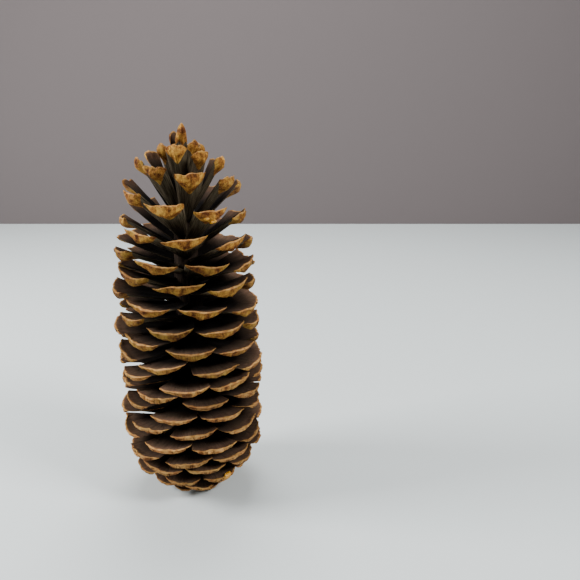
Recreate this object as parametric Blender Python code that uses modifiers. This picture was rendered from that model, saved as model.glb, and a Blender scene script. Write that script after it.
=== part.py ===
"""A long, open pine cone standing on its base, modelled in metres with +Z up.

The cone is one woody growth: a tapering axis, a broken stalk stub below it, and a spiral of thin,
fan-shaped scales that are sunk into the axis and joined to it in one solid. The origin is the
centre of the stub's flat end, which the cone stands on with the flats worn on its lowest scales.
"""

import math
import random

import bmesh
import bpy
from mathutils import Vector

# The spiral of scales, numbered from the lowest one up. It shows as seven steep rows of scales one
# way round the cone and nine the other way.
SCALE_COUNT = 176
DIVERGENCE = math.radians(158.05)
RISE_PER_SCALE = 0.00148
FRONT_SCALE = 118
FRONT_SCALE_HEIGHT = 0.1467
FRONT_SCALE_AZIMUTH = math.radians(-81.1)

# The lowest scales are crowded together.
CROWDED_SCALES = 48
CROWDED_RISE_PER_SCALE = 0.00078

# How the scales change up the cone. Each row: the scale's number, how far the tip stands from the
# axis, how far it rises above its root, half the blade's width, and how far its corners sit back
# from its tip, as a share of its length.
SCALE_FORM = (
    (0, 0.0155, -0.0040, 0.0062, 0.14),
    (4, 0.0190, -0.0067, 0.0072, 0.14),
    (9, 0.0245, -0.0092, 0.0085, 0.13),
    (15, 0.0310, -0.0094, 0.0098, 0.12),
    (22, 0.0385, -0.0073, 0.0115, 0.12),
    (30, 0.0455, -0.0040, 0.0136, 0.11),
    (38, 0.0500, 0.0000, 0.0155, 0.10),
    (48, 0.0515, 0.0030, 0.0170, 0.10),
    (56, 0.0520, 0.0035, 0.0172, 0.09),
    (89, 0.0535, 0.0030, 0.0172, 0.09),
    (101, 0.0530, 0.0040, 0.0172, 0.08),
    (118, 0.0515, 0.0080, 0.0172, 0.07),
    (127, 0.0505, 0.0135, 0.0167, 0.05),
    (135, 0.0495, 0.0145, 0.0162, 0.04),
    (143, 0.0465, 0.0185, 0.0152, 0.03),
    (152, 0.0425, 0.0290, 0.0125, 0.02),
    (159, 0.0360, 0.0380, 0.0105, 0.02),
    (164, 0.0290, 0.0385, 0.0085, 0.04),
    (168, 0.0200, 0.0395, 0.0072, 0.06),
    (173, 0.0100, 0.0340, 0.0055, 0.12),
    (175, 0.0030, 0.0430, 0.0040, 0.25),
)

# One blade: a fan that is cupped upwards, from its root to its blunt lip.
FULL_HALF_WIDTH = 0.0172
ROOT_DEPTH = 0.0045
ROOT_HALF_WIDTH = 0.0042
CORNER_ROUNDNESS = 2.4
CUP_DEPTH = 0.0012
BLADE_BOW = 0.0004
BLADE_ROWS = (0.0, 0.55, 1.0)
ROW_THICKNESS = (0.0034, 0.0024, 0.0036)
EDGE_THICKNESS_SHARE = 0.40
SMALLEST_THICKNESS_SHARE = 0.60
BLADE_COLUMNS = (-1.0, -0.78, -0.42, 0.0, 0.42, 0.78, 1.0)
SLIM_COLUMNS = (-1.0, -0.6, 0.0, 0.6, 1.0)
SLIM_HALF_WIDTH = 0.0136

# How far one scale differs from its neighbours, and the seed of the draw.
SEED = 7
LENGTH_SPREAD = 0.04
WIDTH_SPREAD = 0.06
AZIMUTH_SPREAD = math.radians(2.0)
RISE_SPREAD = 0.0012
ROLL_SPREAD = math.radians(7.0)
CUP_SPREAD = 1.0

# The axis: height and radius, from below the stub's flat end, where the floor cuts it, to its point.
AXIS_PROFILE = (
    (-0.0010, 0.0075),
    (0.0030, 0.0085),
    (0.0100, 0.0105),
    (0.0350, 0.0120),
    (0.0900, 0.0120),
    (0.1400, 0.0105),
    (0.1850, 0.0088),
    (0.2200, 0.0068),
    (0.2420, 0.0046),
    (0.2540, 0.0000),
)
AXIS_SIDES = 10

# The block below the floor that leaves flats where the cone stands.
FLOOR_CUT_SIDE = 0.2
FLOOR_CUT_DEPTH = 0.05

WELD_DISTANCE = 0.00001

BARK_COLOUR = (0.20, 0.12, 0.055, 1.0)
BARK_ROUGHNESS = 0.75


def clear_scene():
    for obj in list(bpy.data.objects):
        bpy.data.objects.remove(obj, do_unlink=True)


def new_collection(name):
    collection = bpy.data.collections.new(name)
    bpy.context.scene.collection.children.link(collection)
    return collection


def wood_material():
    material = bpy.data.materials.new("cone_wood")
    material.use_nodes = True
    shader = material.node_tree.nodes["Principled BSDF"]
    shader.inputs["Base Color"].default_value = BARK_COLOUR
    shader.inputs["Roughness"].default_value = BARK_ROUGHNESS
    shader.inputs["Metallic"].default_value = 0.0
    return material


def read_between(rows, place):
    """The values at this place, read on a straight line between the rows on either side of it."""
    for low, high in zip(rows, rows[1:]):
        if place <= high[0]:
            part = (place - low[0]) / (high[0] - low[0])
            return [a + (b - a) * part for a, b in zip(low[1:], high[1:])]
    return list(rows[-1][1:])


def axis_radius(height):
    return read_between(AXIS_PROFILE, height)[0]


def scale_rules():
    """Every scale's place and size, as dictionaries, from the lowest scale up."""
    draw = random.Random(SEED)
    rules = []
    for number in range(SCALE_COUNT):
        reach, rise, half_width, setback = read_between(SCALE_FORM, number)
        root_height = FRONT_SCALE_HEIGHT + RISE_PER_SCALE * (max(number, CROWDED_SCALES) - FRONT_SCALE)
        root_height -= CROWDED_RISE_PER_SCALE * max(CROWDED_SCALES - number, 0)
        turn = FRONT_SCALE_AZIMUTH + DIVERGENCE * (number - FRONT_SCALE)
        rules.append(
            {
                "azimuth": turn + draw.uniform(-AZIMUTH_SPREAD, AZIMUTH_SPREAD),
                "root_height": root_height,
                "root_radius": max(axis_radius(root_height) - ROOT_DEPTH, 0.0),
                "reach": reach * (1 + draw.uniform(-LENGTH_SPREAD, LENGTH_SPREAD)),
                "rise": rise + draw.uniform(-RISE_SPREAD, RISE_SPREAD),
                "half_width": half_width * (1 + draw.uniform(-WIDTH_SPREAD, WIDTH_SPREAD)),
                "setback": setback,
                "roll": draw.uniform(-ROLL_SPREAD, ROLL_SPREAD),
                "cup": CUP_DEPTH * (1 + draw.uniform(-CUP_SPREAD, CUP_SPREAD)),
            }
        )
    return rules


def blade_point(rule, across, along):
    """A point of the blade's upper face: across runs from -1 to 1, along from root to lip."""
    outward = Vector((math.cos(rule["azimuth"]), math.sin(rule["azimuth"]), 0.0))
    sideways = Vector((-outward.y, outward.x, 0.0))
    root = outward * rule["root_radius"] + Vector((0.0, 0.0, rule["root_height"]))
    tip = outward * rule["reach"] + Vector((0.0, 0.0, rule["root_height"] + rule["rise"]))
    chord = tip - root
    upward = chord.cross(sideways).normalized()
    size = rule["half_width"] / FULL_HALF_WIDTH
    root_half_width = ROOT_HALF_WIDTH * size
    run = along * (1.0 - rule["setback"] * abs(across) ** CORNER_ROUNDNESS)
    beside = across * (root_half_width + (rule["half_width"] - root_half_width) * along)
    lift = rule["cup"] * size * (across * along) ** 2
    lift += BLADE_BOW * size * 4.0 * run * (1.0 - run)
    lift += math.tan(rule["roll"]) * beside * along
    return root + chord * run + sideways * beside + upward * lift


def make_scale(number, rule, collection):
    """One closed blade: its upper face as a fan-shaped grid, made solid downwards."""
    columns = BLADE_COLUMNS if rule["half_width"] > SLIM_HALF_WIDTH else SLIM_COLUMNS
    mesh = bpy.data.meshes.new(f"scale_{number:03d}")
    shape = bmesh.new()
    bmesh.ops.create_grid(shape, x_segments=len(columns) - 1, y_segments=len(BLADE_ROWS) - 1, size=1.0)
    heavy = shape.verts.layers.deform.verify()
    for vertex in shape.verts:
        across = columns[round((vertex.co.x + 1.0) / 2.0 * (len(columns) - 1))]
        row = round((vertex.co.y + 1.0) / 2.0 * (len(BLADE_ROWS) - 1))
        if row < len(BLADE_ROWS) - 1 and across != 0.0:
            across = math.copysign(1.0, across)
        thinning = 1.0 - (1.0 - EDGE_THICKNESS_SHARE) * across**2
        vertex.co = blade_point(rule, across, BLADE_ROWS[row])
        vertex[heavy][0] = ROW_THICKNESS[row] / max(ROW_THICKNESS) * thinning
    bmesh.ops.remove_doubles(shape, verts=shape.verts, dist=WELD_DISTANCE)
    shape.to_mesh(mesh)
    shape.free()
    scale = bpy.data.objects.new(f"scale_{number:03d}", mesh)
    collection.objects.link(scale)
    scale.vertex_groups.new(name="thickness")
    solid = scale.modifiers.new("thickness", "SOLIDIFY")
    heaviness = SMALLEST_THICKNESS_SHARE
    heaviness += (1.0 - SMALLEST_THICKNESS_SHARE) * rule["half_width"] / FULL_HALF_WIDTH
    solid.thickness = max(ROW_THICKNESS) * heaviness
    solid.offset = -1.0
    solid.vertex_group = "thickness"
    return scale


def make_axis(material, collection):
    """The woody axis and its stub, turned from one profile."""
    mesh = bpy.data.meshes.new("pine_cone")
    outline = bmesh.new()
    foot = outline.verts.new((0.0, 0.0, AXIS_PROFILE[0][0]))
    below = foot
    for height, radius in AXIS_PROFILE:
        above = outline.verts.new((radius, 0.0, height))
        outline.edges.new((above, below))
        below = above
    outline.to_mesh(mesh)
    outline.free()
    mesh.materials.append(material)
    axis = bpy.data.objects.new("pine_cone", mesh)
    collection.objects.link(axis)
    turned = axis.modifiers.new("turned", "SCREW")
    turned.steps = turned.render_steps = AXIS_SIDES
    turned.use_merge_vertices = True
    turned.merge_threshold = 0.00005
    turned.use_normal_calculate = True
    return axis


def make_floor_cutter(collection):
    """A block below the floor, which leaves small flats where the cone stands."""
    mesh = bpy.data.meshes.new("floor_cutter")
    block = bmesh.new()
    bmesh.ops.create_cube(block, size=1.0)
    for vertex in block.verts:
        vertex.co.x *= FLOOR_CUT_SIDE
        vertex.co.y *= FLOOR_CUT_SIDE
        vertex.co.z = (vertex.co.z - 0.5) * FLOOR_CUT_DEPTH
    block.to_mesh(mesh)
    block.free()
    cutter = bpy.data.objects.new("floor_cutter", mesh)
    cutter.hide_render = True
    cutter.display_type = "WIRE"
    collection.objects.link(cutter)
    return cutter


def join_scales(axis, scales):
    """Joins every scale to the axis in one solid, and removes the loose scales."""
    union = axis.modifiers.new("grown_together", "BOOLEAN")
    union.operation = "UNION"
    union.operand_type = "COLLECTION"
    union.collection = scales
    union.solver = "EXACT"
    graph = bpy.context.evaluated_depsgraph_get()
    grown = bpy.data.meshes.new_from_object(axis.evaluated_get(graph), depsgraph=graph)
    axis.modifiers.clear()
    axis.data = grown
    grown.name = "pine_cone"
    for scale in list(scales.objects):
        bpy.data.objects.remove(scale, do_unlink=True)
    bpy.data.collections.remove(scales)


def wear_flat(cone, cutter):
    cut = cone.modifiers.new("stands_flat", "BOOLEAN")
    cut.operation = "DIFFERENCE"
    cut.object = cutter
    cut.solver = "EXACT"


def build():
    clear_scene()
    cone_parts = new_collection("pine_cone")
    scales = new_collection("scales")
    cutters = new_collection("cutters")
    axis = make_axis(wood_material(), cone_parts)
    for number, rule in enumerate(scale_rules()):
        make_scale(number, rule, scales)
    join_scales(axis, scales)
    wear_flat(axis, make_floor_cutter(cutters))
    return axis


build()
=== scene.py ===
"""A long, open pine cone: its scales, axis and finishes, built round its solid model.

The scales sit on one spiral. Geometry Nodes place a few carved blade patterns on it, bend each one
to its own cup and corners, and warp them as dry wood does. Lengths are in metres, +Z is up, and the
side that shows in the photograph faces -Y.
"""

import math
import random

import bmesh
import bpy
from bpy.props import FloatProperty, FloatVectorProperty, IntProperty, PointerProperty
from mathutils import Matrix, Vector, noise


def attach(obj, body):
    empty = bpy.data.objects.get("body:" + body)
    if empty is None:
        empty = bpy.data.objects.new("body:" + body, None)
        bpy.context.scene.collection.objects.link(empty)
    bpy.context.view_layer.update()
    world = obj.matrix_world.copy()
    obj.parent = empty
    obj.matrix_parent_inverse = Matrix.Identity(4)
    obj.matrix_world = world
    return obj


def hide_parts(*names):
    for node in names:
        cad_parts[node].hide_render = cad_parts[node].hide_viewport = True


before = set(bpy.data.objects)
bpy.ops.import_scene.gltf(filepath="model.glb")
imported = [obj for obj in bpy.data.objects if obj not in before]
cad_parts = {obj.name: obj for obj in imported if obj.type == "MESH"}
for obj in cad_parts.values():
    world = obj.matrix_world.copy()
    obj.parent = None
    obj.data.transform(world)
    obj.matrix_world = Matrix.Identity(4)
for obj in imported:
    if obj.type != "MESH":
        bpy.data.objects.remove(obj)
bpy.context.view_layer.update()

bl_info = {
    "name": "Open pine cone",
    "version": (1, 0, 0),
    "blender": (4, 5, 0),
    "location": "View3D > Sidebar > Pine Cone",
    "description": "Builds the scales, axis and finishes of a long, open pine cone, and its stage",
    "category": "Add Mesh",
}

NODE = "pine_cone"
BODY = "root"

# How the scales change up the cone. Each row: the scale's number, how far the tip stands from the
# axis, how far it rises above its root, half the blade's width, and how far its corners sit back
# from its tip, as a share of its length.
SCALE_FORM = (
    (0, 0.0155, -0.0040, 0.0062, 0.14),
    (4, 0.0190, -0.0067, 0.0072, 0.14),
    (9, 0.0245, -0.0092, 0.0085, 0.13),
    (15, 0.0310, -0.0094, 0.0098, 0.12),
    (22, 0.0385, -0.0073, 0.0115, 0.12),
    (30, 0.0455, -0.0040, 0.0136, 0.11),
    (38, 0.0500, 0.0000, 0.0155, 0.10),
    (48, 0.0515, 0.0030, 0.0170, 0.10),
    (56, 0.0520, 0.0035, 0.0172, 0.09),
    (89, 0.0535, 0.0030, 0.0172, 0.09),
    (101, 0.0530, 0.0040, 0.0172, 0.08),
    (118, 0.0515, 0.0080, 0.0172, 0.07),
    (127, 0.0505, 0.0135, 0.0167, 0.05),
    (135, 0.0495, 0.0145, 0.0162, 0.04),
    (143, 0.0465, 0.0185, 0.0152, 0.03),
    (152, 0.0425, 0.0290, 0.0125, 0.02),
    (159, 0.0360, 0.0380, 0.0105, 0.02),
    (164, 0.0290, 0.0385, 0.0085, 0.04),
    (168, 0.0200, 0.0395, 0.0072, 0.06),
    (173, 0.0100, 0.0340, 0.0055, 0.12),
    (175, 0.0030, 0.0430, 0.0040, 0.25),
)

# The axis: height and radius, from the stub's broken end to its point.
AXIS_PROFILE = (
    (0.0000, 0.0079),
    (0.0030, 0.0085),
    (0.0100, 0.0105),
    (0.0350, 0.0120),
    (0.0900, 0.0120),
    (0.1400, 0.0105),
    (0.1850, 0.0088),
    (0.2200, 0.0068),
    (0.2420, 0.0046),
    (0.2540, 0.0000),
)

# Where along a blade its pattern has rows of points: close together near the lip.
BLADE_ROWS = (
    0.0, 0.12, 0.24, 0.36, 0.47, 0.57, 0.65, 0.71, 0.76, 0.81, 0.855, 0.895, 0.93, 0.955, 0.975, 0.99, 1.0,
)
LIP_ROWS = 2
BLADE_COLUMNS = 33

# The thin blade's own thickness, in metres, from its root to its lip.
BLADE_THICKNESS = ((0.0, 0.0034), (0.30, 0.0025), (0.62, 0.0022), (0.85, 0.0018), (1.0, 0.0012))

# How the swollen end stands off the blade, from its edge at 0 to the lip at 1, as a share of its
# depth: it rises slowly, stands deepest past its middle and ends bluntly.
SHIELD_PROFILE = (
    (0.0, 0.00),
    (0.06, 0.10),
    (0.25, 0.45),
    (0.45, 0.80),
    (0.65, 1.00),
    (0.80, 1.00),
    (0.90, 0.84),
    (0.96, 0.58),
    (1.0, 0.10),
)

# Lumps on the swollen end, as a share of its depth, and other small forms, in metres.
LARGE_LUMPS = 0.20
SMALL_LUMPS = 0.16
RIB_HEIGHT = 0.0005
SEED_HOLLOW_DEPTH = 0.0006
LIP_GROOVE_DEPTH = 0.0005
WAVE_DEPTH = 0.0010
RIPPLE_DEPTH = 0.0003
MERGE_DISTANCE = 0.00001

# Where a blade's blunt lip begins, along it, and where its corners begin to curl, across it.
LIP_START = 0.97
CURL_START = 0.55

# How far apart two blade patterns lie in the noise.
NOISE_STEP = 11.0

# The patterns change from low ones to high ones between these two scales, and mix on the way.
PATTERN_CHANGE = (61, 131)
PATTERN_MIX = 0.25

# The scales are three pieces, so that each keeps a size that is easy to handle.
SCALE_PIECES = (("scales_base", 0, 62), ("scales_middle", 62, 119), ("scales_crown", 119, 176))

# What is stored on each scale's seat: what shapes the scale, and then what colours it.
SHAPE_VALUES = {
    "turn": "FLOAT_VECTOR",
    "stretch": "FLOAT_VECTOR",
    "chord": "FLOAT_VECTOR",
    "upward": "FLOAT_VECTOR",
    "setback": "FLOAT",
    "pattern": "INT",
}
COLOUR_VALUES = {"share": "FLOAT", "tone": "FLOAT"}

# How often the wood's patterns repeat on a full-size blade: from its middle to its side, from its
# root to its lip, and through it. Grain is lines about 0.6 mm wide and 12 mm long. Streaks follow
# the lip, 0.6 mm thick and 4 mm long. Cracks cross the lip, about 6 mm apart.
GRAIN_REPEATS = (30.0, 4.0, 1.0)
STREAK_REPEATS = (4.5, 85.0, 2.5)
CRACK_REPEATS = (2.8, 1.3, 0.1)

# Beads of dried resin. Each row: the number of its scale, its place on the blade (across, along,
# through), and half its width, depth and length, in metres.
RESIN_BEADS = (
    (27, (0.30, 1.00, 0.40), (0.0026, 0.0014, 0.0030)),
    (27, (0.44, 0.96, 0.00), (0.0022, 0.0014, 0.0020)),
    (150, (0.02, 0.88, 1.00), (0.0034, 0.0009, 0.0020)),
    (150, (-0.34, 0.92, 1.00), (0.0020, 0.0008, 0.0013)),
)
BEAD_LUMPINESS = 0.35

# The stage, in metres: how far the floor reaches forward of the backdrop, half the width of both,
# and the backdrop's height.
FLOOR_DEPTH = 4.0
STAGE_HALF_WIDTH = 3.0
BACKDROP_HEIGHT = 3.0
STAGE_ROUGHNESS = 0.9

# The lights. Each row: name, place and size in metres, and power in watts.
LIGHTS = (
    ("key_light", (0.95, -0.70, 1.00), 0.4, 21.0),
    ("fill_light", (-1.15, 0.10, 0.72), 0.5, 30.0),
    ("top_light", (0.10, 0.60, 1.50), 0.8, 20.0),
)
LIGHT_TARGET = Vector((0.0, 0.0, 0.13))

# Node settings that recur.
ADD = {"operation": "ADD"}
SUBTRACT = {"operation": "SUBTRACT"}
MULTIPLY = {"operation": "MULTIPLY"}
MULTIPLY_ADD = {"operation": "MULTIPLY_ADD"}
DIVIDE = {"operation": "DIVIDE"}
POWER = {"operation": "POWER"}
SCALE = {"operation": "SCALE"}
SMOOTH = {"interpolation_type": "SMOOTHSTEP"}
SEEDED = {"noise_dimensions": "4D"}
MIX_COLOURS = {"data_type": "RGBA"}
MULTIPLY_COLOURS = {"data_type": "RGBA", "blend_type": "MULTIPLY"}


def linear(code):
    """An sRGB hex colour as linear red, green, blue and alpha."""
    parts = [int(code[place : place + 2], 16) / 255 for place in (1, 3, 5)]
    return tuple(p / 12.92 if p <= 0.04045 else ((p + 0.055) / 1.055) ** 2.4 for p in parts) + (1.0,)


def colour(name, description, code):
    return FloatVectorProperty(
        name=name, description=description, subtype="COLOR", size=4, min=0.0, max=1.0, default=linear(code)
    )


def length(name, description, metres):
    return FloatProperty(
        name=name, description=description, subtype="DISTANCE", unit="LENGTH", default=metres
    )


def angle(name, description, degrees):
    return FloatProperty(name=name, description=description, subtype="ANGLE", default=math.radians(degrees))


def plain(name, description, default):
    return FloatProperty(name=name, description=description, default=default)


def whole(name, description, default):
    return IntProperty(name=name, description=description, default=default)


class ConeGrowthSettings(bpy.types.PropertyGroup):
    """The spiral that the scales grow on, and how much one differs from the next."""

    scale_count: whole("Scales", "How many scales the cone has", 176)
    divergence: angle("Divergence", "Turn from one scale to the next one up", 158.05)
    rise_per_scale: length("Rise per scale", "Height from one scale's root to the next", 0.00148)
    front_scale: whole("Front scale", "Number of the scale that faces forward", 118)
    front_height: length("Front height", "Height of the front scale's root", 0.1467)
    front_azimuth: angle("Front azimuth", "Where the front scale points, counted from +X", -81.1)
    crowded_scales: whole("Crowded scales", "How many of the lowest scales crowd", 48)
    crowded_rise: length("Crowded rise", "Height from one crowded scale's root to the next", 0.00078)
    root_depth: length("Root depth", "How far a scale's root is sunk in the axis", 0.0045)
    seed: whole("Seed", "Seed of the draw that varies the scales", 7)
    length_spread: plain("Length spread", "Share by which lengths vary", 0.04)
    width_spread: plain("Width spread", "Share by which widths vary", 0.06)
    azimuth_spread: angle("Azimuth spread", "How far a scale may stand off its place on the spiral", 2.0)
    rise_spread: length("Rise spread", "How far a tip may stand above or below the rule", 0.0012)
    roll_spread: angle("Roll spread", "How far a scale may turn about its own length", 7.0)
    cup_spread: plain("Cup spread", "Share by which the cupping varies", 1.0)


class ScaleBladeSettings(bpy.types.PropertyGroup):
    """The form of one full-size scale."""

    half_width: length("Half width", "Half the width of a full-size scale", 0.0172)
    root_share: plain("Root share", "Width at the root, of the full width", 0.244)
    side_bulge: plain("Side bulge", "How far the sides bow outwards", 0.25)
    corner_roundness: plain("Corner roundness", "Power of the lip's curve", 2.4)
    cup_depth: length("Cup depth", "How far the lip's corners rise above its middle", 0.0012)
    bow: length("Bow", "How far the middle of a scale arches upwards; below zero it sags", -0.0006)
    shield_depth: length("Shield depth", "How far the highest scales' swollen end stands out", 0.0042)
    low_depth: plain("Low depth", "The same on the lowest scales, as a share", 0.55)
    shield_start: plain("Shield start", "Where the highest scales' swollen end begins", 0.66)
    low_start: plain("Low start", "The same on the lowest scales", 0.78)
    shield_slant: plain("Shield slant", "How much later it begins at the blade's sides", 0.26)
    keel: plain("Keel", "How sharply the highest scales are ridged along their middle", 0.65)
    edge_share: plain("Edge share", "Thickness at the sides, of the middle's", 0.50)
    smallest_share: plain("Slim share", "Thickness left on the slimmest scale", 0.60)
    lip_bulge: plain("Lip bulge", "How far the blunt lip rounds out", 0.008)
    boss_height: plain("Boss height", "Height of the blunt point on the lip", 0.016)
    boss_width: length("Boss width", "Half width of the blunt point on the lip", 0.0030)
    pattern_count: whole("Patterns", "How many different blades are carved", 9)
    warp_depth: length("Warp depth", "How far dry wood bends a scale out of shape", 0.0022)
    warp_size: length("Warp size", "Size of those bends", 0.028)
    chip_depth: length("Chip depth", "How far the lip is worn back", 0.0022)
    chip_size: length("Chip size", "Size of the worn places", 0.0045)


class ConeColourSettings(bpy.types.PropertyGroup):
    """The colours of the cone's wood and resin."""

    # The darkest colour of the upper face is near black: mostly painted shade between the scales, over the
    # wood's darker inner colour. The axis takes it for its dark wood too.
    deep_wood_and_shade: colour("Deep inside", "Upper face of a scale near the axis", "#0E0A08")
    inner_face: colour("Upper face", "Upper face of a scale towards its lip", "#42342A")
    dusty_lip: colour("Dusty lip", "Upper face of a scale close to its lip", "#705644")
    lip_dark: colour("Lip dark", "Brown streaks of a low scale's lip", "#684222")
    back: colour("Under face", "Under face of a scale below its swollen end", "#2C2419")
    back_fibre: colour("Under face fibres", "Paler fibres of the under face", "#6A5E4A")
    shield_dark: colour("Shield dark", "Brown patches of the swollen end", "#4E2C12")
    shield: colour("Shield", "The swollen end of a scale", "#8E5E28")
    shield_light: colour("Shield light", "Golden patches of the swollen end", "#BC8A40")
    lip: colour("Lip", "The woody lip of a low scale", "#9E6E3C")
    lip_light: colour("Lip light", "Paler patches of a low scale's lip", "#C09058")
    # These three tints make the scales above middle height duller and greyer; white leaves a scale as it is.
    fresh: colour("Fresh", "Tint where weather has not dulled a scale", "#FFFFFF")
    dulled: colour("Dulled", "Tint of the scales above middle height", "#C5C8C8")
    dulled_high: colour("Dulled higher", "Tint of the scales below the crown's tip", "#CECECB")
    # This colour is a painted highlight along the lip's upper edge.
    rim_highlight: colour("Rim", "The worn upper edge of the lip", "#BE9056")
    crack: colour("Cracks", "Cracks and dirt in the lip", "#2E1A0E")
    resin: colour("Resin", "Beads of dried resin", "#BC7E12")
    resin_crust: colour("Resin crust", "The dull skin on old resin", "#CC9C34")


class StageSettings(bpy.types.PropertyGroup):
    """The floor, backdrop, lights and camera."""

    floor: colour("Floor", "The pale floor", "#D2D9D9")
    wall: colour("Backdrop", "The plain backdrop", "#6A6262")
    wall_distance: length("Backdrop distance", "How far the backdrop stands from the camera", 1.51)
    sky: colour("Sky", "Soft light from all round", "#E8EDF0")
    sky_strength: plain("Sky strength", "Strength of the light from all round", 0.25)
    camera_distance: length("Camera distance", "How far the camera stands from the cone's axis", 0.411)
    camera_height: length("Camera height", "Height of the camera above the floor", 0.280)
    camera_pitch: angle("Camera pitch", "How far the camera looks down", 17.0)
    camera_yaw: angle("Camera yaw", "How far the camera looks to the right", 10.4)
    camera_lens: plain("Lens", "Focal length, in mm", 36.0)
    sensor_width: plain("Sensor", "Width of the camera's sensor, in mm", 36.0)


def add_node(tree, kind, settings=None, inputs=None):
    """Adds one node, with its settings, and each input linked to a socket or set to a value."""
    node = tree.nodes.new(kind)
    for name, value in (settings or {}).items():
        if name == "stops":
            ramp = node.color_ramp.elements
            while len(ramp) < len(value):
                ramp.new(0.5)
            for stop, (place, tint) in zip(ramp, value):
                stop.position = place
                stop.color = tint
        else:
            setattr(node, name, value)
    for name, value in (inputs or {}).items():
        if isinstance(value, bpy.types.NodeSocket):
            tree.links.new(value, node.inputs[name])
        else:
            node.inputs[name].default_value = value
    return node


def read_between(rows, place):
    """The values at this place, read on a straight line between the rows on either side of it."""
    for low, high in zip(rows, rows[1:]):
        if place <= high[0]:
            part = (place - low[0]) / (high[0] - low[0])
            return [a + (b - a) * part for a, b in zip(low[1:], high[1:])]
    return list(rows[-1][1:])


def ease(low, high, value):
    """0 below low, 1 above high, and a smooth step between."""
    part = min(max((value - low) / (high - low), 0.0), 1.0)
    return part * part * (3.0 - 2.0 * part)


def hump(value, centre, width):
    """1 at the centre, and falling smoothly to 0 past the width on either side."""
    return math.exp(-(((value - centre) / width) ** 2))


def bumps(across, along, place, across_count, along_count):
    """Smooth bumps over a blade, from about -1 to 1: so many across half of it and along it."""
    return noise.noise(Vector((across * across_count, along * along_count, place)))


def as_piece(piece, replaces=False):
    """Declares a finished mesh as a piece of the cone."""
    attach(piece, BODY)
    if replaces:
        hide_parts(NODE)


def add_piece(scene, name, shape, material):
    """Makes finished geometry a smooth piece of the cone."""
    mesh = bpy.data.meshes.new(name)
    shape.to_mesh(mesh)
    shape.free()
    mesh.shade_smooth()
    mesh.materials.append(material)
    piece = bpy.data.objects.new(name, mesh)
    scene.collection.objects.link(piece)
    as_piece(piece)


def on_shield(blade, form, across, along):
    """How far along the swollen end a point lies: 0 at its edge, 1 at the lip, below 0 off it."""
    start = blade.low_start + (blade.shield_start - blade.low_start) * form["height"]
    start += form["shield_shift"] + blade.shield_slant * abs(across) ** 1.4
    return (along - start) / (1.0 - start)


def blade_surface(blade, form, across, along, through):
    """A point of one carved blade.

    x runs along it to 1 at its tip, y across it to 1 at its widest, and z is in metres.
    """
    off_middle = abs(across)
    rounding = math.sqrt(1.0 - off_middle**10)
    at_lip = ease(LIP_START, 1.0, along)
    x = along * (1.0 - blade.lip_bulge - blade.boss_height)
    x += math.sin(math.pi * through) * at_lip * rounding * blade.lip_bulge
    boss = hump(across * blade.half_width, form["boss_place"], blade.boss_width)
    x += at_lip * blade.boss_height * form["boss"] * boss
    fan = along * (1.0 + blade.side_bulge * (1.0 - along))
    y = across * (blade.root_share + (1.0 - blade.root_share) * fan)

    edge = blade.edge_share + (1.0 - blade.edge_share) * (1.0 - across**2)
    thickness = read_between(BLADE_THICKNESS, along)[0] * edge
    swelling = read_between(SHIELD_PROFILE, max(on_shield(blade, form, across, along), 0.0))[0]
    keel = blade.keel * form["height"]
    across_shield = keel * (1.0 - off_middle) + (1.0 - keel) * (1.0 - off_middle**3)
    lumps = 1.0 + LARGE_LUMPS * bumps(across, along, form["place"] + 5.0, 4.5, 9.0)
    lumps += SMALL_LUMPS * bumps(across, along, form["place"] + 7.0, 13.0, 16.0)
    thickness += blade.shield_depth * form["depth"] * swelling * across_shield * lumps
    thickness += RIB_HEIGHT * hump(across, 0.0, 0.30) * ease(0.2, 0.5, along)

    z = blade.bow * 4.0 * along * (1.0 - along)
    seed_hollows = hump(across, 0.42, 0.25) + hump(across, -0.42, 0.25)
    z -= SEED_HOLLOW_DEPTH * seed_hollows * hump(along, 0.34, 0.20)
    z -= LIP_GROOVE_DEPTH * hump(along, 0.90, 0.05) * (1.0 - across**4)
    z += form["twist"] * across * along**2
    z += form["curl"] * along * max(off_middle - CURL_START, 0.0) ** 2
    z += WAVE_DEPTH * bumps(across, along, form["place"], 1.6, 1.9) * along
    z += RIPPLE_DEPTH * bumps(across, along, form["place"], 7.0, 5.0) * along
    z -= thickness * rounding * through
    return Vector((x, y, z))


def carve_blade(blade, number, draw, collection):
    """One blade pattern, from low on the cone to high: rows over its upper face, lip and under face."""
    height = number / (blade.pattern_count - 1)
    form = {
        "place": NOISE_STEP * number,
        "height": height,
        "boss": draw.uniform(0.5, 1.0),
        "boss_place": draw.uniform(-0.0015, 0.0015),
        "shield_shift": draw.uniform(-0.04, 0.04),
        "depth": draw.uniform(0.85, 1.15) * (blade.low_depth + (1.0 - blade.low_depth) * height),
        "twist": draw.uniform(-0.0011, 0.0011),
        "curl": draw.uniform(-0.003, 0.006),
    }
    ring = [(along, 0.0) for along in BLADE_ROWS]
    ring += [(1.0, row / (LIP_ROWS + 1)) for row in range(1, LIP_ROWS + 1)]
    ring += [(along, 1.0) for along in reversed(BLADE_ROWS)]
    mesh = bpy.data.meshes.new(f"blade_pattern_{number}")
    shape = bmesh.new()
    place = shape.verts.layers.float_vector.new("blade")
    shield = shape.verts.layers.float.new("shield")
    grid = []
    for column in range(BLADE_COLUMNS):
        across = math.sin(math.pi / 2 * (2.0 * column / (BLADE_COLUMNS - 1) - 1.0))
        line = []
        for along, through in ring:
            vertex = shape.verts.new(blade_surface(blade, form, across, along, through))
            vertex[place] = (across, along, through)
            vertex[shield] = on_shield(blade, form, across, along)
            line.append(vertex)
        grid.append(line)
    for left, right in zip(grid, grid[1:]):
        for row in range(len(ring)):
            after = (row + 1) % len(ring)
            shape.faces.new((left[row], right[row], right[after], left[after]))
    bmesh.ops.remove_doubles(shape, verts=shape.verts, dist=MERGE_DISTANCE)
    bmesh.ops.recalc_face_normals(shape, faces=shape.faces)
    shape.to_mesh(mesh)
    shape.free()
    pattern = bpy.data.objects.new(mesh.name, mesh)
    collection.objects.link(pattern)
    return pattern


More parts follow.
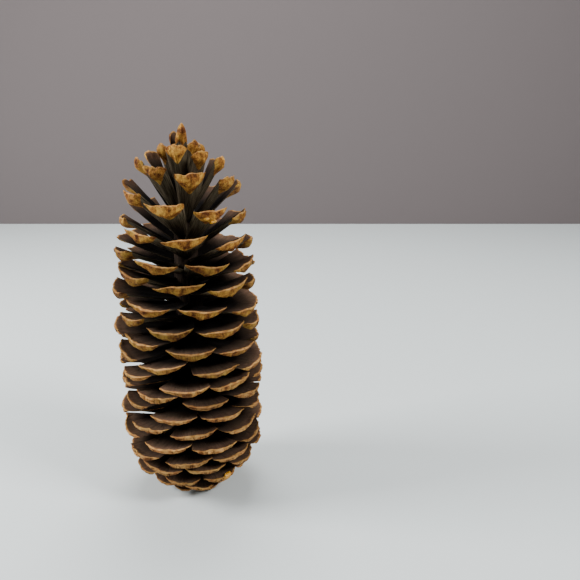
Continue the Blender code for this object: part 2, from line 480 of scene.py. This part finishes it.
def pattern_number(blade, number, chance):
    """The pattern for a scale: low ones low on the cone, high ones high on it."""
    height = ease(*PATTERN_CHANGE, number) + chance.uniform(-PATTERN_MIX, PATTERN_MIX)
    return round((blade.pattern_count - 1) * min(max(height, 0.0), 1.0))


def scale_seats(growth, blade):
    """Each scale's place on the spiral, its turn and stretch, and what bends it, from the lowest up."""
    draw = random.Random(growth.seed)
    chance = random.Random(growth.seed + 1)
    seats = []
    for number in range(growth.scale_count):
        reach, rise, half_width, setback = read_between(SCALE_FORM, number)
        open_number = max(number, growth.crowded_scales)
        height = growth.front_height + growth.rise_per_scale * (open_number - growth.front_scale)
        height -= growth.crowded_rise * (open_number - number)
        azimuth = growth.front_azimuth + growth.divergence * (number - growth.front_scale)
        azimuth += draw.uniform(-growth.azimuth_spread, growth.azimuth_spread)
        root_radius = max(read_between(AXIS_PROFILE, height)[0] - growth.root_depth, 0.0)
        reach *= 1 + draw.uniform(-growth.length_spread, growth.length_spread)
        rise += draw.uniform(-growth.rise_spread, growth.rise_spread)
        half_width *= 1 + draw.uniform(-growth.width_spread, growth.width_spread)
        roll = draw.uniform(-growth.roll_spread, growth.roll_spread)
        cup = blade.cup_depth * (1 + draw.uniform(-growth.cup_spread, growth.cup_spread))
        outward = Vector((math.cos(azimuth), math.sin(azimuth), 0.0))
        sideways = Vector((-outward.y, outward.x, 0.0))
        chord = outward * (reach - root_radius) + Vector((0.0, 0.0, rise))
        upward = chord.cross(sideways).normalized()
        size = half_width / blade.half_width
        heaviness = blade.smallest_share + (1.0 - blade.smallest_share) * size
        seats.append(
            {
                "position": outward * root_radius + Vector((0.0, 0.0, height)),
                "turn": Vector((roll, -math.atan2(rise, reach - root_radius), azimuth)),
                "stretch": Vector((chord.length, half_width, heaviness)),
                "chord": chord,
                "upward": upward * cup * size,
                "setback": setback,
                "share": number / (growth.scale_count - 1),
                "tone": chance.random(),
                "pattern": pattern_number(blade, number, chance),
            }
        )
    return seats


def seat_mesh(name, seats):
    """The seats as loose points, with what each scale needs stored on its point."""
    mesh = bpy.data.meshes.new(name)
    mesh.from_pydata([seat["position"] for seat in seats], [], [])
    for key, kind in (SHAPE_VALUES | COLOUR_VALUES).items():
        field = "vector" if kind == "FLOAT_VECTOR" else "value"
        layer = mesh.attributes.new(key, kind, "POINT")
        for item, seat in zip(layer.data, seats):
            setattr(item, field, seat[key])
    return mesh


def scales_tree(blade):
    """Geometry nodes that set a blade on each seat, bend it, warp it and wear its lip."""
    tree = bpy.data.node_groups.new("cone_scales", "GeometryNodeTree")
    face = tree.interface
    for name, kind in (("Seats", "Geometry"), ("Patterns", "Collection"), ("Wood", "Material")):
        face.new_socket(name, in_out="INPUT", socket_type=f"NodeSocket{kind}")
    for name, default in (
        ("Corner roundness", blade.corner_roundness),
        ("Warp depth", blade.warp_depth),
        ("Warp size", blade.warp_size),
        ("Chip depth", blade.chip_depth),
        ("Chip size", blade.chip_size),
        ("Floor height", 0.0),
        ("Seed", 3.0),
    ):
        face.new_socket(name, in_out="INPUT", socket_type="NodeSocketFloat").default_value = default
    face.new_socket("Scales", in_out="OUTPUT", socket_type="NodeSocketGeometry")
    given = add_node(tree, "NodeGroupInput").outputs
    where = add_node(tree, "GeometryNodeInputPosition").outputs[0]
    stored = {
        name: add_node(
            tree, "GeometryNodeInputNamedAttribute", {"data_type": kind}, {"Name": name}
        ).outputs["Attribute"]
        for name, kind in (SHAPE_VALUES | {"blade": "FLOAT_VECTOR"}).items()
    }

    patterns = add_node(
        tree, "GeometryNodeCollectionInfo", {}, {"Collection": given["Patterns"], "Separate Children": True}
    ).outputs[0]
    turn = add_node(tree, "FunctionNodeEulerToRotation", {}, {"Euler": stored["turn"]}).outputs[0]
    placed = add_node(
        tree,
        "GeometryNodeInstanceOnPoints",
        {},
        {
            "Points": given["Seats"],
            "Instance": patterns,
            "Pick Instance": True,
            "Instance Index": stored["pattern"],
            "Rotation": turn,
            "Scale": stored["stretch"],
        },
    ).outputs[0]
    real = add_node(tree, "GeometryNodeRealizeInstances", {}, {"Geometry": placed}).outputs[0]

    # The corners sit back from the tip.
    across, along, _ = add_node(tree, "ShaderNodeSeparateXYZ", {}, {0: stored["blade"]}).outputs
    off_middle = add_node(tree, "ShaderNodeMath", {"operation": "ABSOLUTE"}, {0: across}).outputs[0]
    rounding = add_node(
        tree, "ShaderNodeMath", POWER, {0: off_middle, 1: given["Corner roundness"]}
    ).outputs[0]
    corner = add_node(tree, "ShaderNodeMath", MULTIPLY, {0: rounding, 1: along}).outputs[0]
    set_back = add_node(tree, "ShaderNodeMath", MULTIPLY, {0: corner, 1: stored["setback"]}).outputs[0]

    # The lip is worn back in places.
    chip_scale = add_node(tree, "ShaderNodeMath", DIVIDE, {0: 1.0, 1: given["Chip size"]}).outputs[0]
    chips = add_node(
        tree,
        "ShaderNodeTexNoise",
        SEEDED,
        {"Vector": where, "W": given["Seed"], "Scale": chip_scale, "Detail": 2.0},
    ).outputs[0]
    worn = add_node(
        tree, "ShaderNodeMapRange", SMOOTH, {"Value": chips, "From Min": 0.42, "From Max": 0.75}
    ).outputs[0]
    near_lip = add_node(tree, "ShaderNodeMath", POWER, {0: along, 1: 14.0}).outputs[0]
    chipped = add_node(tree, "ShaderNodeMath", MULTIPLY, {0: worn, 1: near_lip}).outputs[0]
    reach = add_node(
        tree, "ShaderNodeVectorMath", {"operation": "LENGTH"}, {0: stored["chord"]}
    ).outputs["Value"]
    chip_share = add_node(tree, "ShaderNodeMath", DIVIDE, {0: given["Chip depth"], 1: reach}).outputs[0]
    wear = add_node(tree, "ShaderNodeMath", MULTIPLY, {0: chipped, 1: chip_share}).outputs[0]
    back = add_node(tree, "ShaderNodeMath", ADD, {0: set_back, 1: wear}).outputs[0]
    forward = add_node(tree, "ShaderNodeMath", MULTIPLY, {0: back, 1: -1.0}).outputs[0]
    inward = add_node(tree, "ShaderNodeVectorMath", SCALE, {0: stored["chord"], "Scale": forward}).outputs[0]

    # The sides are cupped upwards, most at the lip.
    beside = add_node(tree, "ShaderNodeMath", MULTIPLY, {0: across, 1: along}).outputs[0]
    cupped = add_node(tree, "ShaderNodeMath", MULTIPLY, {0: beside, 1: beside}).outputs[0]
    lifted = add_node(tree, "ShaderNodeVectorMath", SCALE, {0: stored["upward"], "Scale": cupped}).outputs[0]
    formed = add_node(tree, "ShaderNodeVectorMath", ADD, {0: inward, 1: lifted}).outputs[0]
    bent = add_node(tree, "GeometryNodeSetPosition", {}, {"Geometry": real, "Offset": formed}).outputs[0]

    # Dry wood warps, and a scale gives more towards its lip.
    bend_scale = add_node(tree, "ShaderNodeMath", DIVIDE, {0: 1.0, 1: given["Warp size"]}).outputs[0]
    bends = add_node(
        tree,
        "ShaderNodeTexNoise",
        SEEDED,
        {"Vector": where, "W": given["Seed"], "Scale": bend_scale, "Detail": 3.0, "Roughness": 0.35},
    ).outputs[1]
    centred = add_node(tree, "ShaderNodeVectorMath", SUBTRACT, {0: bends, 1: (0.5, 0.5, 0.5)}).outputs[0]
    give = add_node(tree, "ShaderNodeMath", MULTIPLY, {0: along, 1: given["Warp depth"]}).outputs[0]
    warp = add_node(tree, "ShaderNodeVectorMath", SCALE, {0: centred, "Scale": give}).outputs[0]
    warped = add_node(tree, "GeometryNodeSetPosition", {}, {"Geometry": bent, "Offset": warp}).outputs[0]

    # Nothing reaches below the floor.
    x, y, z = add_node(tree, "ShaderNodeSeparateXYZ", {}, {0: where}).outputs
    above = add_node(
        tree, "ShaderNodeMath", {"operation": "MAXIMUM"}, {0: z, 1: given["Floor height"]}
    ).outputs[0]
    worn_flat = add_node(tree, "ShaderNodeCombineXYZ", {}, {0: x, 1: y, 2: above}).outputs[0]
    stood = add_node(
        tree, "GeometryNodeSetPosition", {}, {"Geometry": warped, "Position": worn_flat}
    ).outputs[0]
    smooth = add_node(tree, "GeometryNodeSetShadeSmooth", {}, {0: stood}).outputs[0]
    whole_mesh = add_node(tree, "GeometryNodeRealizeInstances", {}, {"Geometry": smooth}).outputs[0]
    finished = add_node(
        tree, "GeometryNodeSetMaterial", {}, {"Geometry": whole_mesh, "Material": given["Wood"]}
    ).outputs[0]
    add_node(tree, "NodeGroupOutput", {}, {0: finished})
    return tree


def grown(points, tree, patterns, material):
    """Runs the tree on the seats, and keeps the result as a plain mesh."""
    modifier = points.modifiers.new("scales", "NODES")
    modifier.node_group = tree
    identifiers = {item.name: item.identifier for item in tree.interface.items_tree if item.in_out == "INPUT"}
    modifier[identifiers["Patterns"]] = patterns
    modifier[identifiers["Wood"]] = material
    graph = bpy.context.evaluated_depsgraph_get()
    mesh = bpy.data.meshes.new_from_object(points.evaluated_get(graph), depsgraph=graph)
    points.modifiers.clear()
    points.data = mesh
    mesh.name = points.name
    for name in SHAPE_VALUES:
        layer = mesh.attributes.get(name)
        if layer is not None:
            mesh.attributes.remove(layer)


def empty_material(name):
    """A new material with no nodes in it yet, and its tree."""
    material = bpy.data.materials.new(name)
    material.use_nodes = True
    material.node_tree.nodes.clear()
    return material, material.node_tree


def scale_wood(colours):
    """Cone wood: near black inside, partly painted shade, a dry ochre shield outside, and a pale upper lip
    edge that is a painted highlight.
    """
    material, tree = empty_material("weathered_scale_wood")
    blade = add_node(tree, "ShaderNodeAttribute", {"attribute_name": "blade"}).outputs["Vector"]
    tone, share, shield_place = (
        add_node(tree, "ShaderNodeAttribute", {"attribute_name": name}).outputs["Fac"]
        for name in ("tone", "share", "shield")
    )
    _, along, through = add_node(tree, "ShaderNodeSeparateXYZ", {}, {0: blade}).outputs
    spot = add_node(tree, "ShaderNodeTexCoord").outputs["Object"]
    seed = add_node(tree, "ShaderNodeMath", MULTIPLY, {0: tone, 1: 57.0}).outputs[0]
    grain_place, streak_place, crack_place = (
        add_node(tree, "ShaderNodeMapping", {}, {"Vector": blade, "Scale": repeats}).outputs[0]
        for repeats in (GRAIN_REPEATS, STREAK_REPEATS, CRACK_REPEATS)
    )
    grain, streaks = (
        add_node(
            tree,
            "ShaderNodeTexNoise",
            SEEDED,
            {"Vector": place, "W": seed, "Scale": 1.0, "Detail": detail, "Roughness": roughness},
        ).outputs[0]
        for place, detail, roughness in ((grain_place, 4.0, 0.6), (streak_place, 2.0, 0.5))
    )
    # Patches of about 7 mm, blotches of about 3 mm, and pits of about 0.8 mm.
    patches, blotches, pits = (
        add_node(
            tree,
            "ShaderNodeTexNoise",
            {},
            {"Vector": spot, "Scale": 1000.0 / size, "Detail": 3.0, "Roughness": 0.6},
        ).outputs[0]
        for size in (7.0, 3.0, 0.8)
    )

    # The upper face: near black far in and brown further out, which is mostly painted shade where the scales
    # above overhang it, over the wood's own darker inner colour, then dusty close to the lip.
    near_lip = add_node(tree, "ShaderNodeMath", MULTIPLY_ADD, {0: blotches, 1: 0.12, 2: along}).outputs[0]
    near_lip = add_node(
        tree, "ShaderNodeMapRange", {}, {"Value": near_lip, "From Min": 0.45, "From Max": 1.07}
    ).outputs[0]
    upper = add_node(
        tree,
        "ShaderNodeValToRGB",
        {"stops": ((0.36, colours.deep_wood_and_shade), (0.70, colours.inner_face), (1.0, colours.dusty_lip))},
        {"Fac": near_lip},
    ).outputs["Color"]
    fibre = add_node(
        tree,
        "ShaderNodeMapRange",
        {},
        {"Value": grain, "From Min": 0.35, "From Max": 0.65, "To Min": 0.65, "To Max": 1.25},
    ).outputs[0]
    upper = add_node(
        tree, "ShaderNodeMix", MULTIPLY_COLOURS, {"Factor": 1.0, "A": upper, "B": fibre}
    ).outputs["Result"]

    # The under face: charcoal with paler fibres, then the shield with its pointed edge.
    back = add_node(
        tree,
        "ShaderNodeValToRGB",
        {"stops": ((0.42, colours.back), (0.66, colours.back_fibre))},
        {"Fac": grain},
    ).outputs["Color"]
    past = add_node(tree, "ShaderNodeMath", MULTIPLY_ADD, {0: blotches, 1: 0.24, 2: shield_place}).outputs[0]
    shield_part = add_node(
        tree, "ShaderNodeMapRange", SMOOTH, {"Value": past, "From Min": 0.09, "From Max": 0.17}
    ).outputs[0]
    mottle = patches
    for pattern, weight in ((blotches, 0.5), (grain, 0.35), (pits, 0.45)):
        mottle = add_node(tree, "ShaderNodeMath", MULTIPLY_ADD, {0: pattern, 1: weight, 2: mottle}).outputs[0]
    mottle = add_node(
        tree, "ShaderNodeMapRange", {}, {"Value": mottle, "From Min": 0.90, "From Max": 1.40}
    ).outputs[0]

    # High scales are ochre and golden. Low ones are a duller tan, with streaks along the lip.
    high = add_node(
        tree, "ShaderNodeMapRange", SMOOTH, {"Value": share, "From Min": 0.35, "From Max": 0.65}
    ).outputs[0]
    golden = add_node(
        tree,
        "ShaderNodeValToRGB",
        {"stops": ((0.14, colours.shield_dark), (0.46, colours.shield), (0.80, colours.shield_light))},
        {"Fac": mottle},
    ).outputs["Color"]
    streaked = add_node(tree, "ShaderNodeMath", SUBTRACT, {0: streaks, 1: 0.5}).outputs[0]
    streaked = add_node(tree, "ShaderNodeMath", MULTIPLY_ADD, {0: streaked, 1: 2.0, 2: mottle}).outputs[0]
    tan = add_node(
        tree,
        "ShaderNodeValToRGB",
        {"stops": ((0.10, colours.lip_dark), (0.45, colours.lip), (0.85, colours.lip_light))},
        {"Fac": streaked},
    ).outputs["Color"]
    shield = add_node(
        tree, "ShaderNodeMix", MIX_COLOURS, {"Factor": high, "A": tan, "B": golden}
    ).outputs["Result"]

    # The ones above middle height are tinted duller and greyer, most near 0.6 of the way up and not at all at
    # the crown's tip.
    dulling = (
        (0.36, colours.fresh),
        (0.60, colours.dulled),
        (0.78, colours.dulled_high),
        (0.92, colours.fresh),
    )
    dull = add_node(tree, "ShaderNodeValToRGB", {"stops": dulling}, {"Fac": share}).outputs["Color"]
    shield = add_node(
        tree, "ShaderNodeMix", MULTIPLY_COLOURS, {"Factor": 1.0, "A": shield, "B": dull}
    ).outputs["Result"]

    # Cracks cross the lip, and are fainter on the high scales.
    cracks = add_node(
        tree,
        "ShaderNodeTexVoronoi",
        {"feature": "DISTANCE_TO_EDGE", "voronoi_dimensions": "4D"},
        {"Vector": crack_place, "W": seed, "Scale": 1.0},
    ).outputs["Distance"]
    cracked = add_node(
        tree,
        "ShaderNodeMapRange",
        {},
        {"Value": cracks, "From Min": 0.008, "From Max": 0.035, "To Min": 0.8, "To Max": 0.0},
    ).outputs[0]
    crack_depth = add_node(
        tree, "ShaderNodeMapRange", {}, {"Value": high, "To Min": 1.0, "To Max": 0.45}
    ).outputs[0]
    cracked = add_node(tree, "ShaderNodeMath", MULTIPLY, {0: cracked, 1: crack_depth}).outputs[0]
    shield = add_node(
        tree, "ShaderNodeMix", MIX_COLOURS, {"Factor": cracked, "A": shield, "B": colours.crack}
    ).outputs["Result"]
    under = add_node(
        tree, "ShaderNodeMix", MIX_COLOURS, {"Factor": shield_part, "A": back, "B": shield}
    ).outputs["Result"]

    # The lip's pale upper edge is a painted highlight, where light from above catches it: the last 1 mm of
    # the upper face and the upper half of the lip's edge.
    on_under = add_node(
        tree, "ShaderNodeMapRange", SMOOTH, {"Value": through, "From Min": 0.2, "From Max": 0.8}
    ).outputs[0]
    body = add_node(
        tree, "ShaderNodeMix", MIX_COLOURS, {"Factor": on_under, "A": upper, "B": under}
    ).outputs["Result"]
    rough_edge = add_node(tree, "ShaderNodeMath", MULTIPLY_ADD, {0: pits, 1: 0.012, 2: along}).outputs[0]
    rim_highlight_mask = add_node(
        tree, "ShaderNodeMapRange", SMOOTH, {"Value": rough_edge, "From Min": 0.984, "From Max": 0.996}
    ).outputs[0]
    # The highlight is painted on the upper half only, the side that light from above reaches.
    lit_upper_half = add_node(
        tree,
        "ShaderNodeMapRange",
        {},
        {"Value": through, "From Min": 0.35, "From Max": 0.75, "To Min": 1.0, "To Max": 0.0},
    ).outputs[0]
    rim_highlight_mask = add_node(tree, "ShaderNodeMath", MULTIPLY, {0: rim_highlight_mask, 1: lit_upper_half}).outputs[0]
    rim_highlight = add_node(
        tree, "ShaderNodeValToRGB", {"stops": ((0.38, colours.lip), (0.60, colours.rim_highlight))}, {"Fac": blotches}
    ).outputs["Color"]
    body = add_node(
        tree, "ShaderNodeMix", MIX_COLOURS, {"Factor": rim_highlight_mask, "A": body, "B": rim_highlight}
    ).outputs["Result"]

    # Some scales are darker than others, and the hue wanders a little.
    value = add_node(
        tree, "ShaderNodeMapRange", {}, {"Value": tone, "To Min": 0.62, "To Max": 1.14}
    ).outputs[0]
    hue = add_node(
        tree,
        "ShaderNodeMapRange",
        {},
        {"Value": patches, "From Min": 0.3, "From Max": 0.7, "To Min": 0.49, "To Max": 0.51},
    ).outputs[0]
    body = add_node(
        tree, "ShaderNodeHueSaturation", {}, {"Hue": hue, "Value": value, "Color": body}
    ).outputs["Color"]

    # The loose fibres of the upper face are the dullest.
    roughness = add_node(
        tree,
        "ShaderNodeMapRange",
        {},
        {"Value": blotches, "From Min": 0.3, "From Max": 0.7, "To Min": 0.60, "To Max": 0.85},
    ).outputs[0]
    fuzz = add_node(
        tree, "ShaderNodeMapRange", {}, {"Value": on_under, "To Min": 0.2, "To Max": 0.0}
    ).outputs[0]
    roughness = add_node(
        tree, "ShaderNodeMath", {"operation": "ADD", "use_clamp": True}, {0: roughness, 1: fuzz}
    ).outputs[0]
    relief = add_node(tree, "ShaderNodeMath", MULTIPLY_ADD, {0: grain, 1: 0.7, 2: pits}).outputs[0]
    relief = add_node(tree, "ShaderNodeMath", SUBTRACT, {0: relief, 1: cracked}).outputs[0]
    bump = add_node(
        tree, "ShaderNodeBump", {}, {"Strength": 0.6, "Distance": 0.0004, "Height": relief}
    ).outputs[0]
    shader = add_node(
        tree,
        "ShaderNodeBsdfPrincipled",
        {},
        {"Base Color": body, "Roughness": roughness, "Normal": bump, "Specular IOR Level": 0.06},
    ).outputs[0]
    add_node(tree, "ShaderNodeOutputMaterial", {}, {"Surface": shader})
    return material


def axis_wood(colours):
    """The axis: dark, fibrous wood, broken off pale and splintery at the stub."""
    material, tree = empty_material("fibrous_axis_wood")
    spot = add_node(tree, "ShaderNodeTexCoord").outputs["Object"]
    # Fibres of about 0.6 mm run up the axis.
    stretched = add_node(
        tree, "ShaderNodeMapping", {}, {"Vector": spot, "Scale": (1600.0, 1600.0, 160.0)}
    ).outputs[0]
    fibres = add_node(
        tree, "ShaderNodeTexNoise", {}, {"Vector": stretched, "Scale": 1.0, "Detail": 4.0, "Roughness": 0.6}
    ).outputs[0]
    height = add_node(tree, "ShaderNodeSeparateXYZ", {}, {0: spot}).outputs[2]
    broken = add_node(
        tree,
        "ShaderNodeMapRange",
        {},
        {"Value": height, "From Min": 0.0005, "From Max": 0.003, "To Min": 1.0, "To Max": 0.0},
    ).outputs[0]
    wood, pale = (
        add_node(tree, "ShaderNodeValToRGB", {"stops": stops}, {"Fac": fibres}).outputs["Color"]
        for stops in (
            ((0.35, colours.deep_wood_and_shade), (0.85, colours.inner_face)),
            ((0.35, colours.shield_dark), (0.70, colours.lip)),
        )
    )
    tint = add_node(
        tree, "ShaderNodeMix", MIX_COLOURS, {"Factor": broken, "A": wood, "B": pale}
    ).outputs["Result"]
    bump = add_node(
        tree, "ShaderNodeBump", {}, {"Strength": 0.7, "Distance": 0.0005, "Height": fibres}
    ).outputs[0]
    shader = add_node(
        tree,
        "ShaderNodeBsdfPrincipled",
        {},
        {"Base Color": tint, "Roughness": 0.8, "Normal": bump, "Specular IOR Level": 0.05},
    ).outputs[0]
    add_node(tree, "ShaderNodeOutputMaterial", {}, {"Surface": shader})
    return material


def dried_resin(colours):
    """Dried resin: amber, shiny where it is fresh and dull under its crust."""
    material, tree = empty_material("dried_amber_resin")
    spot = add_node(tree, "ShaderNodeTexCoord").outputs["Object"]
    # Patches of crust of about 1.2 mm.
    crust = add_node(
        tree,
        "ShaderNodeTexNoise",
        {},
        {"Vector": spot, "Scale": 1000.0 / 1.2, "Detail": 3.0, "Roughness": 0.6},
    ).outputs[0]
    crust = add_node(
        tree, "ShaderNodeMapRange", {}, {"Value": crust, "From Min": 0.45, "From Max": 0.68}
    ).outputs[0]
    tint = add_node(
        tree, "ShaderNodeMix", MIX_COLOURS, {"Factor": crust, "A": colours.resin, "B": colours.resin_crust}
    ).outputs["Result"]
    roughness = add_node(
        tree, "ShaderNodeMapRange", {}, {"Value": crust, "To Min": 0.2, "To Max": 0.6}
    ).outputs[0]
    shader = add_node(
        tree, "ShaderNodeBsdfPrincipled", {}, {"Base Color": tint, "Roughness": roughness}
    ).outputs[0]
    add_node(tree, "ShaderNodeOutputMaterial", {}, {"Surface": shader})
    return material


def blade_spot(scales, share, place):
    """The position and normal where a scale, told by its share, has this place on its blade."""
    shares = scales.data.attributes["share"].data
    places = scales.data.attributes["blade"].data
    target = Vector(place)
    own = [vertex for vertex in scales.data.vertices if abs(shares[vertex.index].value - share) < 0.001]
    nearest = min(own, key=lambda vertex: (places[vertex.index].vector - target).length)
    return nearest.co, nearest.normal


def stage_paint(name, tint):
    """Plain matt paint."""
    material = bpy.data.materials.new(name)
    material.use_nodes = True
    shader = material.node_tree.nodes["Principled BSDF"]
    shader.inputs["Base Color"].default_value = tint
    shader.inputs["Roughness"].default_value = STAGE_ROUGHNESS
    return material


class CONE_OT_add_axis(bpy.types.Operator):
    """Adds the woody axis with its broken stub"""

    bl_idname = "cone.add_axis"
    bl_label = "Add the axis"

    sides = 48
    step = 0.002
    bark_depth = 0.0007
    bark_inset = 0.0005
    pith_height = 0.0012

    def execute(self, context):
        shape = bmesh.new()
        top = AXIS_PROFILE[-1][0]
        rings = []
        for row in range(int(top / self.step)):
            height = row * self.step
            radius = read_between(AXIS_PROFILE, height)[0]
            ring = []
            for side in range(self.sides):
                turn = 2 * math.pi * side / self.sides
                way = Vector((math.cos(turn), math.sin(turn), 0.0))
                bark = noise.noise(Vector((way.x * 3, way.y * 3, height * 160))) * self.bark_depth
                out = radius + bark - self.bark_inset
                ring.append(shape.verts.new(way * out + Vector((0.0, 0.0, height))))
            rings.append(ring)
        for low, high in zip(rings, rings[1:]):
            for side in range(self.sides):
                after = (side + 1) % self.sides
                shape.faces.new((low[side], low[after], high[after], high[side]))
        tip = shape.verts.new((0.0, 0.0, top))
        pith = shape.verts.new((0.0, 0.0, self.pith_height))
        for side in range(self.sides):
            after = (side + 1) % self.sides
            shape.faces.new((rings[-1][side], rings[-1][after], tip))
            shape.faces.new((rings[0][after], rings[0][side], pith))
        add_piece(context.scene, "cone_axis", shape, axis_wood(context.scene.cone_colours))
        return {"FINISHED"}


class CONE_OT_add_scales(bpy.types.Operator):
    """Adds every scale, in three pieces from the base to the crown"""

    bl_idname = "cone.add_scales"
    bl_label = "Add the scales"

    def execute(self, context):
        growth = context.scene.cone_growth
        blade = context.scene.cone_blade
        patterns = bpy.data.collections.new("blade_patterns")
        context.scene.collection.children.link(patterns)
        draw = random.Random(growth.seed)
        carved = [carve_blade(blade, number, draw, patterns) for number in range(blade.pattern_count)]
        seats = scale_seats(growth, blade)
        tree = scales_tree(blade)
        material = scale_wood(context.scene.cone_colours)
        for name, first, end in SCALE_PIECES:
            scales = bpy.data.objects.new(name, seat_mesh(name, seats[first:end]))
            context.scene.collection.objects.link(scales)
            grown(scales, tree, patterns, material)
            as_piece(scales, replaces=True)
        for pattern in carved:
            bpy.data.objects.remove(pattern, do_unlink=True)
        bpy.data.collections.remove(patterns)
        return {"FINISHED"}


class CONE_OT_add_resin(bpy.types.Operator):
    """Adds the beads of dried resin on the lips"""

    bl_idname = "cone.add_resin"
    bl_label = "Add the resin"

    def execute(self, context):
        growth = context.scene.cone_growth
        shape = bmesh.new()
        for number, place, (width, depth, drop) in RESIN_BEADS:
            piece = next(name for name, first, end in SCALE_PIECES if first <= number < end)
            share = number / (growth.scale_count - 1)
            centre, normal = blade_spot(context.scene.objects[piece], share, place)
            sideways = normal.cross(Vector((0.0, 0.0, 1.0))).normalized()
            down = normal.cross(sideways)
            bead = bmesh.ops.create_icosphere(shape, subdivisions=4, radius=1.0)["verts"]
            for vertex in bead:
                way = vertex.co.copy()
                way *= 1.0 + BEAD_LUMPINESS * noise.noise(way * 1.6 + Vector((number, 0.0, 0.0)))
                vertex.co = centre + sideways * way.x * width + normal * way.y * depth + down * way.z * drop
        add_piece(context.scene, "resin_beads", shape, dried_resin(context.scene.cone_colours))
        return {"FINISHED"}


class CONE_OT_add_stage(bpy.types.Operator):
    """Adds the floor, the backdrop, the lights and the camera"""

    bl_idname = "cone.add_stage"
    bl_label = "Add the stage"

    def execute(self, context):
        stage = context.scene.cone_stage
        ahead = Vector((math.sin(stage.camera_yaw), math.cos(stage.camera_yaw), 0.0))
        right = Vector((ahead.y, -ahead.x, 0.0))
        foot = Vector((0.0, -stage.camera_distance, 0.0)) + ahead * stage.wall_distance
        half = right * STAGE_HALF_WIDTH
        near = foot - ahead * FLOOR_DEPTH
        top = foot + Vector((0.0, 0.0, BACKDROP_HEIGHT))
        for name, corners, tint in (
            ("floor", (near - half, near + half, foot + half, foot - half), stage.floor),
            ("backdrop", (foot - half, foot + half, top + half, top - half), stage.wall),
        ):
            mesh = bpy.data.meshes.new(name)
            mesh.from_pydata(corners, [], [(0, 1, 2, 3)])
            mesh.materials.append(stage_paint(f"{name}_paint", tint))
            sheet = bpy.data.objects.new(name, mesh)
            context.scene.collection.objects.link(sheet)

        for name, place, size, power in LIGHTS:
            lamp = bpy.data.lights.new(name, "AREA")
            lamp.size = size
            lamp.energy = power
            light = bpy.data.objects.new(name, lamp)
            light.location = place
            light.rotation_euler = (LIGHT_TARGET - Vector(place)).to_track_quat("-Z", "Y").to_euler()
            context.scene.collection.objects.link(light)
        world = bpy.data.worlds.new("studio")
        world.use_nodes = True
        sky = world.node_tree.nodes["Background"]
        sky.inputs["Color"].default_value = stage.sky
        sky.inputs["Strength"].default_value = stage.sky_strength
        context.scene.world = world

        lens = bpy.data.cameras.new("camera")
        lens.lens = stage.camera_lens
        lens.sensor_width = stage.sensor_width
        lens.clip_start = 0.01
        camera = bpy.data.objects.new("camera", lens)
        camera.location = (0.0, -stage.camera_distance, stage.camera_height)
        camera.rotation_euler = (math.pi / 2 - stage.camera_pitch, 0.0, -stage.camera_yaw)
        context.scene.collection.objects.link(camera)
        context.scene.camera = camera
        return {"FINISHED"}


class CONE_PT_panel(bpy.types.Panel):
    """The steps that build the cone, and the sizes and colours that they read"""

    bl_idname = "CONE_PT_panel"
    bl_label = "Pine Cone"
    bl_space_type = "VIEW_3D"
    bl_region_type = "UI"
    bl_category = "Pine Cone"

    def draw(self, context):
        for step in STEPS:
            self.layout.operator(step.bl_idname)
        for name in SETTINGS:
            settings = getattr(context.scene, name)
            box = self.layout.box()
            for field in settings.bl_rna.properties:
                if field.identifier not in ("name", "rna_type"):
                    box.prop(settings, field.identifier)


SETTINGS = {
    "cone_growth": ConeGrowthSettings,
    "cone_blade": ScaleBladeSettings,
    "cone_colours": ConeColourSettings,
    "cone_stage": StageSettings,
}
STEPS = (CONE_OT_add_axis, CONE_OT_add_scales, CONE_OT_add_resin, CONE_OT_add_stage)


def register():
    for kind in (*SETTINGS.values(), *STEPS, CONE_PT_panel):
        bpy.utils.register_class(kind)
    for name, kind in SETTINGS.items():
        setattr(bpy.types.Scene, name, PointerProperty(type=kind))


def unregister():
    for name in SETTINGS:
        delattr(bpy.types.Scene, name)
    for kind in reversed((*SETTINGS.values(), *STEPS, CONE_PT_panel)):
        bpy.utils.unregister_class(kind)


def main():
    register()
    bpy.ops.cone.add_axis()
    bpy.ops.cone.add_scales()
    bpy.ops.cone.add_resin()
    bpy.ops.cone.add_stage()


if __name__ == "__main__":
    main()
